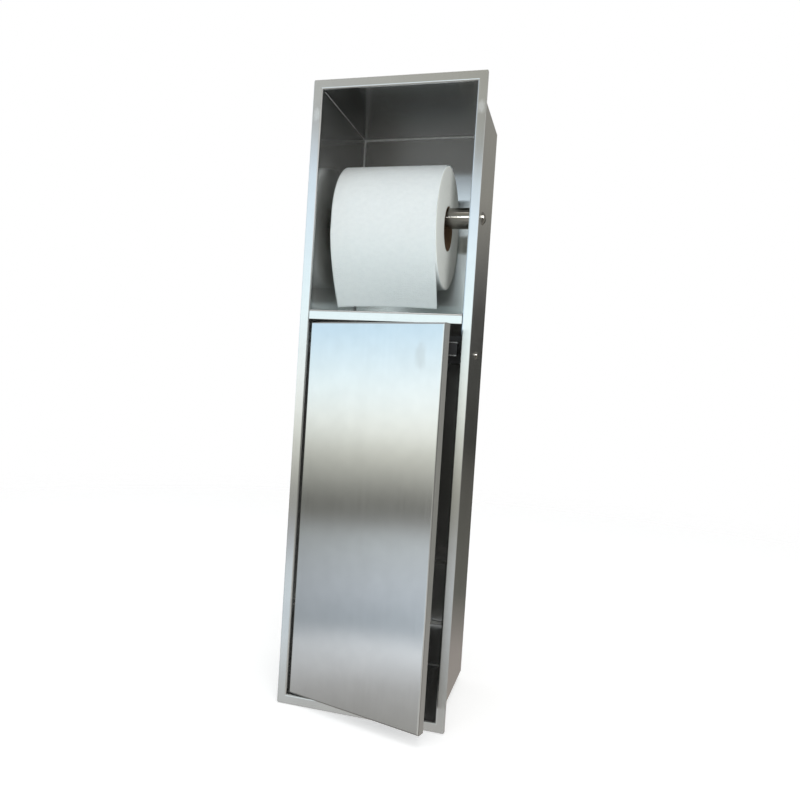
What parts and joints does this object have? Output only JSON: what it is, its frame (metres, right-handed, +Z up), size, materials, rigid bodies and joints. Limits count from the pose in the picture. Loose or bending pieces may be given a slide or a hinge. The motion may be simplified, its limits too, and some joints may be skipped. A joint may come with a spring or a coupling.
{
  "type": "recessed toilet roll niche",
  "caption": "Tall recessed steel niche: an open bay with a paper roll on a sprung spindle, above a spare roll compartment behind a flush side-hinged push-to-open door.",
  "frame": {"origin": "centre of the four fixing holes, on the outer face of the back panel", "axes": "+Y into the wall, +Z up, +X to the right of a person facing the niche"},
  "size_m": [0.16, 0.171, 0.58],
  "materials": {
    "brushed_steel": "vertical brushed grain, satin",
    "turned_steel": "fine turned grain",
    "hinge_steel": "plain cold-rolled, satin",
    "spring_steel": "drawn wire",
    "magnet": "sintered, dark grey",
    "black_plastic": "moulded, matt",
    "paper": "soft embossed tissue",
    "cardboard": "plain wound board"
  },
  "bodies": {
    "root": {"left_wall": "brushed_steel", "right_wall": "brushed_steel", "top_wall": "brushed_steel", "bottom_wall": "brushed_steel", "back_panel": "brushed_steel", "divider_shelf": "brushed_steel", "keeper_rod": "turned_steel", "socket_left": "turned_steel", "socket_right": "turned_steel", "socket_screws": "turned_steel", "paper_tail": "paper", "hinge_arms": "hinge_steel", "latch_housing": "black_plastic", "latch_spring": "spring_steel", "latch_screws": "turned_steel"},
    "door": {"door_panel": "brushed_steel", "door_hinge_brackets": "hinge_steel", "hinge_pins": "turned_steel", "strike_plate": "hinge_steel"},
    "roll": {"paper_roll": "paper", "cardboard_core": "cardboard"},
    "spindle": {"spindle_tube": "turned_steel", "spindle_cap_fixed": "turned_steel", "spindle_spring": "spring_steel"},
    "spindle_end": {"spindle_slider": "turned_steel", "spindle_cap_sliding": "turned_steel"},
    "plunger": {"latch_plunger": "black_plastic", "latch_magnet": "magnet", "latch_poles": "turned_steel"}
  },
  "joints": [
    {"name": "door_swing", "type": "hinge", "parent": "root", "child": "door", "pos_m": [-0.0633, -0.131, 0], "axis": [0, 0, -1], "range_deg": [-15.5, 84.5]},
    {"name": "roll_spin", "type": "hinge", "parent": "root", "child": "roll", "pos_m": [0, -0.063, 0.1703], "axis": [1, 0, 0], "continuous": true},
    {"name": "spindle_spin", "type": "hinge", "parent": "root", "child": "spindle", "pos_m": [0, -0.063, 0.1805], "axis": [1, 0, 0], "continuous": true},
    {"name": "spindle_press", "type": "slide", "parent": "spindle", "child": "spindle_end", "axis": [1, 0, 0], "range_m": [0, 0.008], "stiffness_N_per_m": 300, "springref_m": -0.012, "deforming": ["spindle_spring"]},
    {"name": "latch_press", "type": "slide", "parent": "root", "child": "plunger", "axis": [0, 1, 0], "range_m": [0, 0.0025], "stiffness_N_per_m": 600, "springref_m": -0.005, "deforming": ["latch_spring"]}
  ],
  "couplings": [
    {"joint": "spindle_spin", "follows": "roll_spin", "ratio": 2.05}
  ]
}
